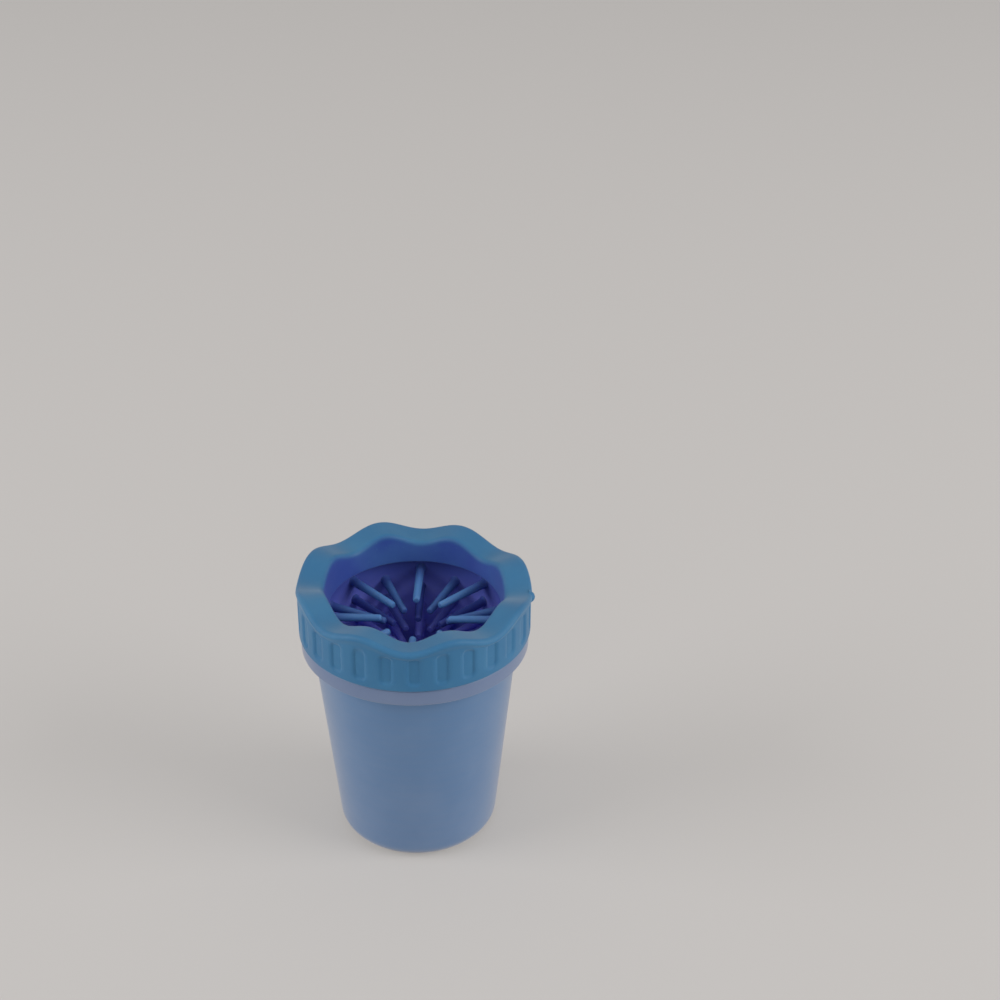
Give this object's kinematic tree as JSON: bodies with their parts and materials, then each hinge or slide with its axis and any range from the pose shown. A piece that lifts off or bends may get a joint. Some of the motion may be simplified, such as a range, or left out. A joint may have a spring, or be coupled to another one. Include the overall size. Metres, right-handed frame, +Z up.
{
  "type": "paw washer cup",
  "caption": "Tapered frosted cup with a soft finger-lined sleeve and a wavy fluted grip collar, for rinsing muddy paws.",
  "frame": {"origin": "centre of the cup's base, on the surface it stands on", "axes": "+Z up along the cup's axis, +X towards the nub on the collar"},
  "size_m": [0.1022, 0.101, 0.1252],
  "materials": {
    "frosted_cup": "frosted translucent polypropylene",
    "collar_silicone": "matte soft silicone",
    "sleeve_silicone": "matte soft silicone",
    "finger_silicone": "matte soft silicone"
  },
  "bodies": {
    "cup": {"cup_body": "frosted_cup"},
    "insert": {"bristle_sleeve": "sleeve_silicone", "bristle_row_01": "finger_silicone", "bristle_row_02": "finger_silicone", "bristle_row_03": "finger_silicone", "bristle_row_04": "finger_silicone", "bristle_row_05": "finger_silicone", "bristle_row_06": "finger_silicone", "bristle_row_07": "finger_silicone", "bristle_row_08": "finger_silicone", "bristle_row_09": "finger_silicone", "bristle_row_10": "finger_silicone", "bristle_row_11": "finger_silicone", "bristle_row_12": "finger_silicone", "bristle_row_13": "finger_silicone", "bristle_row_14": "finger_silicone", "bristle_row_15": "finger_silicone", "bristle_row_16": "finger_silicone", "bristle_row_17": "finger_silicone", "bristle_row_18": "finger_silicone", "bristle_row_19": "finger_silicone", "bristle_row_20": "finger_silicone"},
    "collar": {"grip_collar": "collar_silicone"}
  },
  "joints": [
    {"name": "insert_lift", "type": "slide", "parent": "cup", "child": "insert", "axis": [0, 0, 1], "range_m": [0, 0.115]},
    {"name": "collar_lift", "type": "slide", "parent": "insert", "child": "collar", "axis": [0, 0, 1], "range_m": [0, 0.03]}
  ]
}
